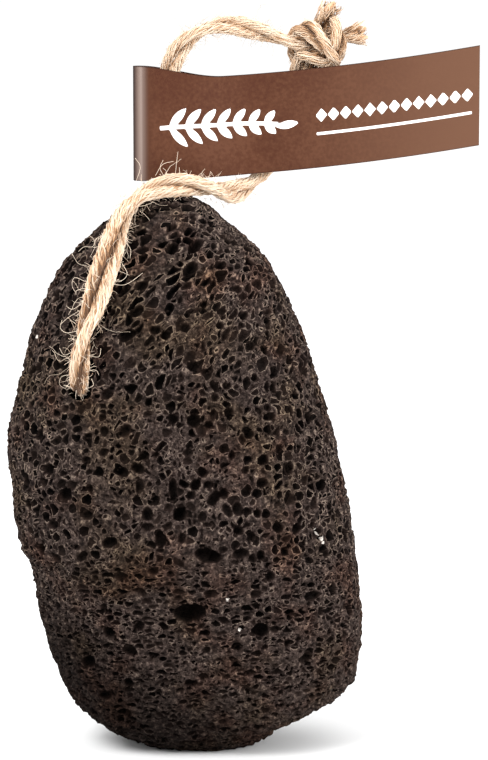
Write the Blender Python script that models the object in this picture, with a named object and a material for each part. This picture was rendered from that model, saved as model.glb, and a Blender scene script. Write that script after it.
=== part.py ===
"""A pumice stone on a loop of jute twine.

One dark, bubbly volcanic stone, egg-shaped and drilled through near its upper left edge, stands on a
small worn foot. A loop of two-ply jute twine goes through the hole and ends in an overhand knot with two
short tails. A strip of brown paper is folded round the twine as a tag. Z is up, the front faces -Y, and the
origin lies under the middle of the stone, on the surface that it stands on.
"""

import math
import random

import bmesh
import bpy
import numpy as np
from mathutils import Matrix, Vector, noise

MM = 0.001
GAP = 0.3 * MM  # the room that touching pieces keep
TUBE_SIDES = 8

# The stone. Each station is a level cut through it: its height, then where it reaches on the left, on the
# right, at the front and at the back.
STATIONS_MM = (
    (-1.6, 0.0, 1.0, -0.5, 0.5),
    (-0.6, -7.5, 9.0, -7.0, 7.0),
    (0.8, -10.5, 12.5, -9.5, 9.5),
    (2.4, -13.0, 15.5, -11.5, 11.5),
    (4.4, -15.4, 19.9, -13.8, 13.6),
    (7.4, -18.4, 24.9, -16.0, 15.6),
    (10.9, -20.4, 27.6, -17.8, 17.4),
    (16.3, -23.0, 29.1, -19.6, 19.4),
    (22.0, -24.5, 29.3, -20.8, 20.8),
    (28.0, -24.9, 28.2, -21.6, 21.6),
    (30.6, -25.4, 27.6, -21.8, 21.8),
    (33.0, -27.0, 27.2, -22.0, 22.0),
    (40.3, -28.6, 26.7, -22.0, 22.0),
    (46.0, -29.4, 25.6, -21.8, 21.8),
    (51.8, -29.2, 24.0, -21.4, 21.2),
    (57.9, -27.9, 22.2, -20.8, 20.4),
    (64.6, -26.2, 20.2, -19.6, 19.2),
    (70.5, -24.7, 18.5, -17.8, 17.6),
    (75.7, -22.5, 16.2, -15.8, 15.8),
    (79.9, -20.2, 13.7, -13.8, 13.8),
    (84.7, -15.7, 9.3, -10.6, 10.8),
    (87.7, -12.3, 6.0, -8.2, 8.4),
    (89.8, -8.8, 3.6, -5.8, 6.0),
    (91.0, -2.6, 0.4, -1.4, 1.6),
)
BODY_DETAIL = 4  # how often the ball that becomes the stone is subdivided
CORNER = 2.25  # 2 gives an oval level cut, and more gives a squarer one
LUMP_SIZE = 13 * MM
LUMP_HEIGHT = 0.8 * MM
KNOB_SIZE = 4.5 * MM
KNOB_HEIGHT = 0.35 * MM

# Bubbles that the surface has cut open. The widest ones on the front have places of their own: x and height
# of the middle, half length, half width, and how many degrees the length is turned up from level.
FRONT_BUBBLES_MM = (
    (0.9, 22.0, 2.9, 2.0, 10),
    (3.3, 31.6, 2.1, 1.3, -15),
    (8.8, 31.8, 1.5, 1.0, 5),
    (-0.5, 46.1, 1.9, 1.5, 30),
    (-0.9, 38.7, 1.7, 1.5, 0),
    (-2.4, 42.4, 2.1, 1.1, 85),
    (-4.2, 34.2, 1.6, 1.0, 90),
    (4.4, 40.8, 1.3, 1.1, 80),
    (8.4, 39.2, 1.3, 1.1, 70),
    (15.0, 36.6, 1.3, 1.2, 0),
    (18.5, 36.4, 1.2, 1.2, 0),
    (12.4, 43.7, 1.3, 1.1, 80),
    (14.0, 28.3, 1.3, 1.0, 90),
    (20.8, 25.0, 1.8, 1.2, -10),
    (1.3, 53.8, 1.3, 1.3, 0),
    (-8.0, 46.0, 1.4, 1.1, -30),
    (-13.4, 43.5, 1.4, 1.2, 20),
    (-12.8, 34.0, 1.7, 1.3, -10),
    (-13.0, 18.8, 1.4, 1.2, 0),
    (-23.3, 58.8, 1.4, 1.3, 60),
    (-9.9, 67.4, 1.8, 1.3, 50),
    (-6.6, 72.4, 1.6, 1.1, 40),
    (1.7, 82.2, 2.5, 1.2, 48),
    (0.4, 78.4, 1.8, 1.3, 55),
    (5.8, 79.3, 1.1, 1.0, 0),
    (-2.2, 85.0, 1.7, 1.0, 35),
)
BUBBLE_SEED = 41
BUBBLE_TRIES = 6000
BUBBLE_RADII = (1.2 * MM, 2.5 * MM)
BUBBLE_COUNT = 125  # with the ones above
ROUND_BUBBLES = 6  # the first ones, which get a rounder ball
BUBBLE_SINK = (0.0, 0.4)  # how far a bubble's middle lies under the surface, in radii
BUBBLE_WALL = 0.25 * MM  # the least wall between two bubbles
FOOT_MARGIN = 3.5 * MM  # no bubble opens this close to the foot
HOLE_MARGIN = 5.5 * MM  # and none this close to the middle of the drilled hole

# The jute twine: from the knot down behind the tag, over the stone's top, down its front, through the hole,
# up its back, up inside the tag's fold and round the top of the loop to the knot again.
TWINE_DIAMETER = 4.3 * MM
TWINE_ROUTE_MM = (
    (18.8, 9.4, 111.7),
    (18.3, 9.9, 106.6),
    (15.8, 10.1, 99.9),
    (12.6, 9.8, 94.4),
    (10.4, 8.2, 92.1),
    (8.2, 5.4, 91.2),
    (5.6, 2.4, 91.3),
    (3.0, -0.3, 92.1),
    (-1.0, -3.0, 92.8),
    (-4.8, -4.8, 92.2),
    (-8.1, -7.3, 90.4),
    (-10.1, -9.5, 87.7),
    (-11.4, -12.1, 84.2),
    (-12.7, -14.6, 80.0),
    (-14.1, -16.4, 75.3),
    (-15.5, -17.6, 71.0),
    (-16.2, -18.8, 67.4),
    (-16.6, -19.2, 64.5),
    (-16.7, -17.5, 61.8),
    (-16.7, -14.8, 60.9),
    (-16.2, 0.5, 60.8),
    (-16.0, 14.8, 60.9),
    (-15.9, 17.5, 61.8),
    (-15.7, 19.2, 64.5),
    (-15.5, 18.8, 68.0),
    (-14.9, 17.4, 72.4),
    (-13.7, 15.6, 77.4),
    (-12.2, 13.7, 81.9),
    (-10.4, 11.7, 85.8),
    (-8.5, 10.0, 88.3),
    (-6.4, 7.9, 90.4),
    (-5.1, 6.4, 92.9),
    (-4.8, 6.0, 96.8),
    (-4.2, 6.0, 103.4),
    (-3.0, 6.0, 110.3),
    (-1.2, 6.1, 114.4),
    (1.4, 6.2, 116.9),
    (6.0, 6.7, 118.5),
    (11.4, 7.5, 117.6),
    (16.9, 8.5, 115.8),
)
TWINE_POINTS = 64
HOLE_DIAMETER = 5.4 * MM
HOLE_FRONT = Vector((-16.8, -26.0, 61.0)) * MM
HOLE_BACK = Vector((-15.8, 26.0, 60.8)) * MM

# The overhand knot and its two tails.
KNOT_CENTRE = Vector((21.4, 9.2, 115.5)) * MM
KNOT_CORE = (4.3 * MM, 3.7 * MM, 3.7 * MM)
KNOT_WRAP_RADIUS = 2.6 * MM
KNOT_WRAP_THICKNESS = 1.75 * MM
TAIL_RADIUS = 2.2 * MM
TAIL_TIPS = (Vector((24.2, 8.8, 122.0)) * MM, Vector((29.8, 9.6, 117.0)) * MM)

# The paper tag: a strip folded round the twine, with its two halves glued flat to each other.
TAG_LEFT, TAG_RIGHT = -8.8 * MM, 48.2 * MM
TAG_PLANE_Y = 6.0 * MM  # the middle of the glued halves
TAG_SHEET = 0.5 * MM
TAG_LOOP_RADIUS = 4.0 * MM  # outside, where the strip turns round the twine
TAG_LOOP_SHOULDER = 9.5 * MM  # from the fold to where the strip starts to close behind the twine
TAG_LOOP_END = 19.0 * MM  # from the fold to where the halves meet
TAG_BOTTOM = 93.0 * MM  # at the fold
TAG_HEIGHT = 16.4 * MM
TAG_FLARE = 2.4 * MM  # how much taller the strip is cut at the fold
TAG_FLARE_LENGTH = 15.0 * MM
TAG_RISE = 0.03  # the tag slopes up to the right by this much at the fold
TAG_BOW = 1.25  # and by twice this much more for every metre from there
TAG_STEPS = 4  # straight stretches that stand for the bowed edges of the glued halves


def clear_scene():
    for thing in list(bpy.data.objects):
        bpy.data.objects.remove(thing, do_unlink=True)


def material(name, colour, roughness):
    made = bpy.data.materials.new(name)
    made.use_nodes = True
    shader = made.node_tree.nodes["Principled BSDF"]
    shader.inputs["Base Color"].default_value = (*colour, 1.0)
    shader.inputs["Roughness"].default_value = roughness
    made.diffuse_color = (*colour, 1.0)
    return made


def mesh_object(name, shape, finish=None):
    mesh = bpy.data.meshes.new(name)
    shape.to_mesh(mesh)
    shape.free()
    made = bpy.data.objects.new(name, mesh)
    bpy.context.scene.collection.objects.link(made)
    if finish:
        mesh.materials.append(finish)
    return made


def as_cutter(thing):
    thing.hide_render = True
    thing.display_type = "WIRE"
    return thing


def cut(target, cutter, operation="DIFFERENCE"):
    step = target.modifiers.new(f"{operation.lower()} {cutter.name}", "BOOLEAN")
    step.operation = operation
    step.solver = "EXACT"
    step.object = as_cutter(cutter)


def smooth_curve(points, count):
    """Evenly spaced points on a centripetal Catmull-Rom curve through the given ones."""
    knots = [Vector(p) for p in points]
    knots = [2 * knots[0] - knots[1], *knots, 2 * knots[-1] - knots[-2]]
    fine = []
    for a, b, c, d in zip(knots, knots[1:], knots[2:], knots[3:]):
        t0, t1 = 0.0, (b - a).length ** 0.5
        t2 = t1 + (c - b).length ** 0.5
        t3 = t2 + (d - c).length ** 0.5
        for step in range(16):
            t = t1 + (t2 - t1) * step / 16
            ab = a * ((t1 - t) / (t1 - t0)) + b * ((t - t0) / (t1 - t0))
            bc = b * ((t2 - t) / (t2 - t1)) + c * ((t - t1) / (t2 - t1))
            cd = c * ((t3 - t) / (t3 - t2)) + d * ((t - t2) / (t3 - t2))
            abc = ab * ((t2 - t) / (t2 - t0)) + bc * ((t - t0) / (t2 - t0))
            bcd = bc * ((t3 - t) / (t3 - t1)) + cd * ((t - t1) / (t3 - t1))
            fine.append(abc * ((t2 - t) / (t2 - t1)) + bcd * ((t - t1) / (t2 - t1)))
    fine.append(knots[-2])
    fine = np.array(fine)
    along = np.concatenate([[0.0], np.cumsum(np.linalg.norm(np.diff(fine, axis=0), axis=1))])
    wanted = np.linspace(0.0, along[-1], count)
    return [Vector(p) for p in np.column_stack([np.interp(wanted, along, fine[:, k]) for k in range(3)])]


def tube(name, points, diameter, resolution, finish=None):
    curve = bpy.data.curves.new(name, "CURVE")
    curve.dimensions = "3D"
    curve.bevel_depth = diameter / 2
    curve.bevel_resolution = resolution
    curve.use_fill_caps = True
    line = curve.splines.new("POLY")
    line.points.add(len(points) - 1)
    for point, place in zip(line.points, points):
        point.co = (*place, 1.0)
    made = bpy.data.objects.new(name, curve)
    bpy.context.scene.collection.objects.link(made)
    if finish:
        curve.materials.append(finish)
    return made


def tube_mesh(name, points, radius, sides=TUBE_SIDES, closed=False):
    """A round tube along the points, as a mesh that a Boolean can use. A closed one is a ring."""
    shape = bmesh.new()
    count = len(points)
    rows = []
    side = Vector((0.31, 0.52, 0.79))
    for k, place in enumerate(points):
        before = points[k - 1] if k or closed else place
        after = points[(k + 1) % count] if k + 1 < count or closed else place
        along = (after - before).normalized()
        side = (side - along * side.dot(along)).normalized()
        other = along.cross(side)
        angles = [math.tau * step / sides for step in range(sides)]
        spots = [place + (side * math.cos(a) + other * math.sin(a)) * radius for a in angles]
        rows.append([shape.verts.new(spot) for spot in spots])
    if closed:
        rows.append(rows[0])
    for here, there in zip(rows, rows[1:]):
        for k in range(sides):
            shape.faces.new((here[k], here[(k + 1) % sides], there[(k + 1) % sides], there[k]))
    if not closed:
        shape.faces.new(reversed(rows[0]))
        shape.faces.new(rows[-1])
    bmesh.ops.recalc_face_normals(shape, faces=shape.faces)
    return mesh_object(name, shape)


def on_stone(height, turn):
    """A point of the stone's smooth form at a height, seen from its middle at an angle turned from +X."""
    rows = np.array(STATIONS_MM) * MM
    left, right, front, back = (float(np.interp(height, rows[:, 0], rows[:, k])) for k in (1, 2, 3, 4))
    along, across = math.cos(turn), math.sin(turn)
    reach = (abs(along) ** CORNER + abs(across) ** CORNER) ** (-1 / CORNER)
    x = (left + right) / 2 + (right - left) / 2 * reach * along
    y = (front + back) / 2 + (back - front) / 2 * reach * across
    return Vector((x, y, height))


def in_direction(direction):
    """The point of the smooth form that a direction from the stone's middle stands for."""
    low, high = STATIONS_MM[0][0] * MM, STATIONS_MM[-1][0] * MM
    height = (low + high) / 2 + direction.z * (high - low) / 2
    return on_stone(height, math.atan2(direction.y, direction.x))


def on_front(x, height):
    """The point of the smooth form's front at x and a height."""
    turns = [-math.pi * step / 400 for step in range(401)]
    return min((on_stone(height, turn) for turn in turns), key=lambda place: abs(place.x - x))


def lumpy(place):
    """A point of the smooth form, moved in or out by broad lumps and small knobs."""
    outward = Vector((place.x, place.y * 1.6, (place.z - 45 * MM) * 0.35)).normalized()
    lump = noise.noise(place / LUMP_SIZE) * LUMP_HEIGHT
    knob = noise.noise(place / KNOB_SIZE + Vector((7.0, 3.0, 1.0))) * KNOB_HEIGHT
    return place + outward * (lump + knob)


def stone_body(finish):
    shape = bmesh.new()
    bmesh.ops.create_icosphere(shape, subdivisions=BODY_DETAIL, radius=1.0)
    for vertex in shape.verts:
        vertex.co = lumpy(in_direction(vertex.co.normalized()))
    everything = shape.verts[:] + shape.edges[:] + shape.faces[:]
    cut_edges = bmesh.ops.bisect_plane(
        shape, geom=everything, plane_co=(0, 0, 0), plane_no=(0, 0, -1), clear_outer=True
    )["geom_cut"]
    rim = [item for item in cut_edges if isinstance(item, bmesh.types.BMEdge)]
    bmesh.ops.contextual_create(shape, geom=rim)
    bmesh.ops.recalc_face_normals(shape, faces=shape.faces)
    return mesh_object("stone", shape, finish)


def inward_at(surface):
    """Roughly the way into the stone from a point of its surface."""
    return (Vector((0, 0, surface.z * 0.6 + 18 * MM)) - surface).normalized()


def open_bubbles():
    """Place, half length, half width and slope of each bubble, with a wall left between any two."""
    draw = random.Random(BUBBLE_SEED)
    small, large = BUBBLE_RADII
    drill_way = (HOLE_BACK - HOLE_FRONT).normalized()
    found = []
    for x, height, length, width, slope in FRONT_BUBBLES_MM:
        surface = on_front(x * MM, height * MM)
        place = surface + inward_at(surface) * width * MM * 0.2
        found.append((place, length * MM, width * MM, math.radians(slope)))
    for attempt in range(BUBBLE_TRIES):
        left_over = 1 - attempt / BUBBLE_TRIES
        width = small + (large - small) * left_over**2.5 * draw.uniform(0.6, 1.0)
        direction = Vector((draw.gauss(0, 1), draw.gauss(0, 1), draw.gauss(0, 1))).normalized()
        surface = in_direction(direction)
        place = surface + inward_at(surface) * width * draw.uniform(*BUBBLE_SINK)
        length = width * draw.uniform(1.0, 1.45)
        slope = draw.uniform(0.2, 1.0) * surface.z / (90 * MM)
        from_drill = (place - HOLE_FRONT).cross(drill_way).length
        clear = place.z - length > FOOT_MARGIN and from_drill > HOLE_MARGIN
        apart = all(
            (place - other).length > (length + size) * 1.04 + BUBBLE_WALL for other, size, *_ in found
        )
        if clear and apart:
            found.append((place, length, width, slope))
        if len(found) == BUBBLE_COUNT:
            break
    return found


def bubble_cutter():
    shape = bmesh.new()
    for number, (place, length, width, slope) in enumerate(open_bubbles()):
        size = Matrix.Diagonal((length, width * 1.25, width, 1.0))
        ball = Matrix.Translation(place) @ Matrix.Rotation(-slope, 4, "Y") @ size
        roundness = 2 if number < ROUND_BUBBLES else 1
        bmesh.ops.create_icosphere(shape, subdivisions=roundness, radius=1.0, matrix=ball)
    return mesh_object("bubble_cutter", shape)


def drill_cutter():
    shape = bmesh.new()
    way = HOLE_BACK - HOLE_FRONT
    turned = way.to_track_quat("Z", "Y").to_matrix().to_4x4()
    place = Matrix.Translation((HOLE_FRONT + HOLE_BACK) / 2) @ turned
    radius = HOLE_DIAMETER / 2
    bmesh.ops.create_cone(
        shape, cap_ends=True, segments=14, radius1=radius, radius2=radius, depth=way.length, matrix=place
    )
    return mesh_object("drill_cutter", shape)


def make_stone():
    finish = material("vesicular pumice", (0.045, 0.036, 0.034), 0.92)
    stone = stone_body(finish)
    cut(stone, bubble_cutter())
    cut(stone, drill_cutter())
    route = smooth_curve([Vector(p) * MM for p in TWINE_ROUTE_MM], TWINE_POINTS)
    # the twine beds into the rough surface, with room all round it
    bed_radius = (TWINE_DIAMETER / 2 + GAP) / math.cos(math.pi / TUBE_SIDES)
    cut(stone, tube_mesh("twine_bed_cutter", route, bed_radius))


def make_twine():
    finish = material("jute twine", (0.52, 0.36, 0.21), 0.95)
    route = smooth_curve([Vector(p) * MM for p in TWINE_ROUTE_MM], TWINE_POINTS)
    tube("jute_twine", route, TWINE_DIAMETER, 2, finish)


def make_knot():
    """A core, two turns of twine crossing over it, and the two tails, fused in one solid."""
    finish = material("knotted jute", (0.50, 0.35, 0.21), 0.95)
    core = bmesh.new()
    size = Matrix.Translation(KNOT_CENTRE) @ Matrix.Diagonal((*KNOT_CORE, 1.0))
    bmesh.ops.create_icosphere(core, subdivisions=2, radius=1.0, matrix=size)
    knot = mesh_object("twine_knot", core, finish)
    for number, tilt in enumerate(((0.5, 0.9), (-0.7, 0.35))):
        spin = Matrix.Rotation(tilt[0], 3, "X") @ Matrix.Rotation(tilt[1], 3, "Y")
        ring = [
            KNOT_CENTRE + spin @ Vector((math.cos(a), math.sin(a), 0.0)) * KNOT_WRAP_RADIUS
            for a in (math.tau * step / 14 for step in range(14))
        ]
        cut(knot, tube_mesh(f"knot_wrap_{number}", ring, KNOT_WRAP_THICKNESS, closed=True), "UNION")
    for number, tip in enumerate(TAIL_TIPS):
        start = KNOT_CENTRE + (tip - KNOT_CENTRE) * 0.3
        cut(knot, tube_mesh(f"knot_tail_{number}", [start, tip], TAIL_RADIUS), "UNION")


def tag_outline(inset):
    """The tag seen from above: round the twine at the left, and tapering to the two glued sheets."""
    radius = TAG_LOOP_RADIUS - inset
    middle_x = TAG_LEFT + TAG_LOOP_RADIUS
    arc = [math.radians(angle) for angle in range(90, 271, 20)]
    loop = [(middle_x + radius * math.cos(a), TAG_PLANE_Y + radius * math.sin(a)) for a in arc]
    shoulder = (TAG_LEFT + TAG_LOOP_SHOULDER, TAG_PLANE_Y - TAG_LOOP_RADIUS * 0.82 + inset)
    meeting = TAG_LEFT + TAG_LOOP_END
    if inset:
        front = [shoulder]
        tip = [(meeting - 4 * inset, TAG_PLANE_Y)]
    else:
        steps = [meeting + (TAG_RIGHT - meeting) * step / TAG_STEPS for step in range(TAG_STEPS + 1)]
        front = [shoulder] + [(x, TAG_PLANE_Y - TAG_SHEET) for x in steps]
        tip = []
    return loop + front + tip + [(x, 2 * TAG_PLANE_Y - y) for x, y in reversed(front)]


def tag_bottom(x):
    """How high the strip's lower edge lies, rising and bowed up towards the free end."""
    from_fold = x - TAG_LEFT
    return TAG_BOTTOM + TAG_RISE * from_fold + TAG_BOW * from_fold**2


def tag_top(x):
    """How high the strip's upper edge lies, taller towards the fold."""
    share = max(0.0, 1 - (x - TAG_LEFT) / TAG_FLARE_LENGTH)
    return tag_bottom(x) + TAG_HEIGHT + TAG_FLARE * share * share * (3 - 2 * share)


def prism(name, outline, bottom, top, finish=None):
    shape = bmesh.new()
    low = [shape.verts.new((x, y, bottom(x))) for x, y in outline]
    high = [shape.verts.new((x, y, top(x))) for x, y in outline]
    for k in range(len(outline)):
        after = (k + 1) % len(outline)
        shape.faces.new((low[k], low[after], high[after], high[k]))
    shape.faces.new(reversed(low))
    shape.faces.new(high)
    bmesh.ops.triangulate(shape, faces=shape.faces)
    bmesh.ops.recalc_face_normals(shape, faces=shape.faces)
    return mesh_object(name, shape, finish)


def make_tag():
    finish = material("brown tag paper", (0.19, 0.085, 0.05), 0.6)
    tag = prism("paper_tag", tag_outline(0.0), tag_bottom, tag_top, finish)
    inside = prism("tag_fold_cutter", tag_outline(TAG_SHEET), lambda x: 0.08, lambda x: 0.13)
    cut(tag, inside)


clear_scene()
make_stone()
make_twine()
make_knot()
make_tag()
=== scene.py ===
import math
import random

import bpy
import numpy as np
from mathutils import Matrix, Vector, kdtree, noise


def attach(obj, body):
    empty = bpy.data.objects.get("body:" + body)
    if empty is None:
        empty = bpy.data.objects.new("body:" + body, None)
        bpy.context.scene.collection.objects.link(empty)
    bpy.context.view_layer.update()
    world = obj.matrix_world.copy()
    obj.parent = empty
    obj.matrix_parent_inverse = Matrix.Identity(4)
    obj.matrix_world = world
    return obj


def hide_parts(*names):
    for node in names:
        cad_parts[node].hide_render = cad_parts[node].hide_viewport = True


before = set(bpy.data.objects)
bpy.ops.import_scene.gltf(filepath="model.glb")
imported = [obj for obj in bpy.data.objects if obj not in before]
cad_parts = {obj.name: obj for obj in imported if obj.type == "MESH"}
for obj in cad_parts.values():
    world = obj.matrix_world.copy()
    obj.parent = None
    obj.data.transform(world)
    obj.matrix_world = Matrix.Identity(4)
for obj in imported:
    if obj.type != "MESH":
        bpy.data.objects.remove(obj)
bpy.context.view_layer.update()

MM = 0.001
bpy.ops.object.select_all(action="DESELECT")


# ----------------------------------------------------------------------
# The studio. A camera that looks down on the stone a little, a white room, one broad soft light from the
# upper left and a weak one from the right, and a white floor that takes only the stone's own shadow.

PIXEL = 0.1645 * MM  # what one of the frame's rows covers at the stone
FRAME_ROWS = 760
CAMERA_DISTANCE = 0.5
CAMERA_ABOVE = math.radians(7)
CAMERA_AIM = Vector((9.46, 0.0, 60.5)) * MM
HORIZON_LIGHT, ZENITH_LIGHT = 1.04, 2.1
BRIGHTER_FROM = 0.1  # the height, of 1, from which the room grows brighter
LIGHTS = (((-0.35, -0.45, 0.60), 0.35, 7.5), ((0.75, -0.22, 0.24), 0.50, 8.3))  # place, size and power
LIGHTS_AIM = Vector((0, 0, 0.05))
FLOOR_WHITE = (0.66, 0.66, 0.66, 1.0)


def colour(code):
    """An sRGB hex value as the linear colour that a shader takes."""
    parts = [int(code[k:k + 2], 16) / 255 for k in (1, 3, 5)]
    return (*[p / 12.92 if p <= 0.04045 else ((p + 0.055) / 1.055) ** 2.4 for p in parts], 1.0)


def new_finish(name, roughness, specular):
    """A new material, and its shader, for what the real one is made of."""
    made = bpy.data.materials.new(name)
    made.use_nodes = True
    shader = made.node_tree.nodes["Principled BSDF"]
    shader.inputs["Roughness"].default_value = roughness
    shader.inputs["Specular IOR Level"].default_value = specular
    return made, shader


def add_node(tree, kind, inputs=(), out=0, **settings):
    """One more node with its settings. Its inputs are given by name, or the first ones in order, each a plain
    value or a socket that is linked to it. It gives back the output that out names, or else the node."""
    made = tree.nodes.new(kind if kind.startswith(("Geometry", "NodeGroup")) else "ShaderNode" + kind)
    for key, value in settings.items():
        setattr(made, key, value)
    for key, value in inputs.items() if isinstance(inputs, dict) else enumerate(inputs):
        if isinstance(value, bpy.types.NodeSocket):
            tree.links.new(value, made.inputs[key])
        else:
            made.inputs[key].default_value = value
    return made if out is None else made.outputs[out]


camera_place = CAMERA_AIM + Vector((0, -math.cos(CAMERA_ABOVE), math.sin(CAMERA_ABOVE))) * CAMERA_DISTANCE
aim = (CAMERA_AIM - camera_place).to_track_quat("-Z", "Y").to_euler()
bpy.ops.object.camera_add(location=camera_place, rotation=aim)
camera = bpy.context.object
camera.data.sensor_fit = "VERTICAL"
camera.data.sensor_height = 24.0
camera.data.lens = camera.data.sensor_height * CAMERA_DISTANCE / (FRAME_ROWS * PIXEL)
bpy.context.scene.camera = camera

room = bpy.data.worlds.new("white room")
room.use_nodes = True
sky = room.node_tree
way_up = add_node(sky, "TexCoord", out="Generated")
way_up = add_node(sky, "SeparateXYZ", (way_up,), out=2)
brightness = add_node(sky, "MapRange", (way_up, BRIGHTER_FROM, 1.0, HORIZON_LIGHT, ZENITH_LIGHT))
sky.links.new(brightness, sky.nodes["Background"].inputs["Strength"])
sky.nodes["Background"].inputs["Color"].default_value = (1.0, 1.0, 1.0, 1.0)
bpy.context.scene.world = room
bpy.context.scene.view_settings.view_transform = "Standard"

for place, size, power in LIGHTS:
    turn = (LIGHTS_AIM - Vector(place)).to_track_quat("-Z", "Y").to_euler()
    bpy.ops.object.light_add(type="AREA", location=place, rotation=turn)
    bpy.context.object.data.size = size
    bpy.context.object.data.energy = power

bpy.ops.mesh.primitive_plane_add(size=6.0)
floor = bpy.context.object
floor.name = "studio_floor"
white_card, floor_shader = new_finish("white card", 0.7, 0.5)
floor_shader.inputs["Base Color"].default_value = FLOOR_WHITE
floor.data.materials.append(white_card)


# ----------------------------------------------------------------------
# The twine. Real jute twine: two plies of long, coarse plant fibre wound round each other, pale straw where
# the light catches it and golden brown in between. It is tied in a loop, and it is limp but for the
# stiffness that holds the loop's top up. Each ply is a core with loose strands laid round it.

TWINE_WIDTH = 4.3 * MM
TWINE_ROUTE = (  # in millimetres: from the knot down behind the tag, over the stone, through it and back
    (20.0, 9.2, 114.5), (18.8, 9.4, 111.7), (18.3, 9.9, 106.6), (15.8, 10.1, 99.9), (12.6, 9.8, 94.4),
    (10.4, 8.2, 92.1), (8.2, 5.4, 91.2), (5.6, 2.4, 91.3), (3.0, -0.3, 92.1), (-1.0, -3.0, 92.8),
    (-4.8, -4.8, 92.2), (-8.1, -7.3, 90.4), (-10.1, -9.5, 87.7), (-11.4, -12.1, 84.2), (-12.7, -14.6, 80.0),
    (-14.1, -16.4, 75.3), (-15.5, -17.6, 71.0), (-16.2, -18.8, 67.4), (-16.6, -19.2, 64.5),
    (-16.7, -17.5, 61.8), (-16.7, -14.8, 60.9), (-16.2, 0.5, 60.8), (-16.0, 14.8, 60.9),
    (-15.9, 17.5, 61.8), (-15.7, 19.2, 64.5), (-15.5, 18.8, 68.0), (-14.9, 17.4, 72.4), (-13.7, 15.6, 77.4),
    (-12.2, 13.7, 81.9), (-10.4, 11.7, 85.8), (-8.5, 10.0, 88.3), (-6.4, 7.9, 90.4), (-5.1, 6.4, 92.9),
    (-4.8, 6.0, 96.8), (-4.2, 6.0, 103.4), (-3.0, 6.0, 110.3), (-1.2, 6.1, 114.4), (1.4, 6.2, 116.9),
    (6.0, 6.7, 118.5), (11.4, 7.5, 117.6), (16.9, 8.5, 115.8), (20.2, 8.9, 115.4),
)
PLY_OFFSET = 0.98 * MM  # from the twine's middle to a ply's
PLY_RADIUS = 1.12 * MM
CORE_SHARE, CORE_TONE = 0.66, 0.35  # a ply's core, in radii, and how pale it is: darker than the strands, as painted shade inside the ply
PLY_TURN = 27 * MM  # the length in which the plies go once round each other
SLACK_TURN = 62 * MM  # and where the twine has come a little unwound
SLACK_HEIGHTS = (74 * MM, 88 * MM)  # on the front
BROWN_HEIGHTS = (70 * MM, 87 * MM)  # on the front, one ply is browner here
SIDE_BY_SIDE_AT = Vector((-13.0, -15.0, 78.5)) * MM  # here the front shows the plies beside each other
STRANDS = 50  # round each ply
STRAND_TURN = 15 * MM  # and once round it, the other way, in this length
STRAND_REACH = 0.80  # from the ply's middle to a strand's, in radii
STRAND_WIDTHS = (0.06, 0.135)
# How far a strand strays from its angle, reach, width and tone, and how often:
ANGLE_DRIFT, REACH_DRIFT = (0.40, 10 * MM), (0.15, 6 * MM)
WIDTH_DRIFT, TONE_DRIFT = (0.25, 5 * MM), (0.13, 16 * MM)
STRAND_TONE, TONE_SPREAD, INNER_SHADE = 0.65, 0.27, 0.32  # painted shade: a strand is darker where it lies between the plies
BROWN_ALL, GROOVE_SHADE = 0.15, 1.25  # how much browner a ply is made all over, and how much more in its groove, which is painted shade
BRUSH_LENGTH = 4.2 * MM
RING_STEP = 0.95 * MM
BLENDED_OVER = 5  # rings on either side, where the twine's thickness, turn or colour changes
HOLE_HEIGHTS = (61 * MM, 73 * MM)  # the twine is squeezed at the lower one and full again at the upper one
HOLE_DEPTH, HOLE_SQUEEZE = 12 * MM, 0.72  # how far from the stone's middle it is held, and how thin
FREE_ABOVE = 94 * MM  # higher than this it is pulled straight, and thinner
FREE_SIZE, LAID_SIZE, SLACK_SIZE = 0.84, 0.95, 1.14
PRESSED = 0.62  # how far apart the plies are at the hole, of 1
BROWNER = (0.12, 0.62)  # how much so each ply is at BROWN_HEIGHTS


def smooth_path(points, step):
    """Evenly spaced points on a centripetal Catmull-Rom curve through the given ones."""
    knots = [Vector(p) for p in points]
    knots = [2 * knots[0] - knots[1], *knots, 2 * knots[-1] - knots[-2]]
    fine = []
    for a, b, c, d in zip(knots, knots[1:], knots[2:], knots[3:]):
        t0, t1 = 0.0, (b - a).length ** 0.5
        t2 = t1 + (c - b).length ** 0.5
        t3 = t2 + (d - c).length ** 0.5
        for part in range(16):
            t = t1 + (t2 - t1) * part / 16
            ab = a * ((t1 - t) / (t1 - t0)) + b * ((t - t0) / (t1 - t0))
            bc = b * ((t2 - t) / (t2 - t1)) + c * ((t - t1) / (t2 - t1))
            cd = c * ((t3 - t) / (t3 - t2)) + d * ((t - t2) / (t3 - t2))
            abc = ab * ((t2 - t) / (t2 - t0)) + bc * ((t - t0) / (t2 - t0))
            bcd = bc * ((t3 - t) / (t3 - t1)) + cd * ((t - t1) / (t3 - t1))
            fine.append(abc * ((t2 - t) / (t2 - t1)) + bcd * ((t - t1) / (t2 - t1)))
    fine = np.array([*fine, knots[-2]])
    along = np.concatenate([[0.0], np.cumsum(np.linalg.norm(np.diff(fine, axis=0), axis=1))])
    wanted = np.linspace(0.0, along[-1], max(3, round(along[-1] / step) + 1))
    return np.column_stack([np.interp(wanted, along, fine[:, k]) for k in range(3)])


def unit(rows):
    return rows / np.maximum(np.linalg.norm(rows, axis=-1, keepdims=True), 1e-12)


def carried_frame(path):
    """At each point of a path, its way and two directions across it that turn no more than they must."""
    way = unit(np.gradient(path, axis=0))
    side = np.empty_like(path)
    side[0] = np.cross(way[0], (0.31, 0.52, 0.79))
    for k in range(len(path)):
        before = side[max(k - 1, 0)]
        side[k] = before - way[k] * (before @ way[k])
        side[k] /= np.linalg.norm(side[k])
    return way, side, np.cross(way, side)


def distance_along(path):
    return np.concatenate([[0.0], np.cumsum(np.linalg.norm(np.diff(path, axis=0), axis=1))])


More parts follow.
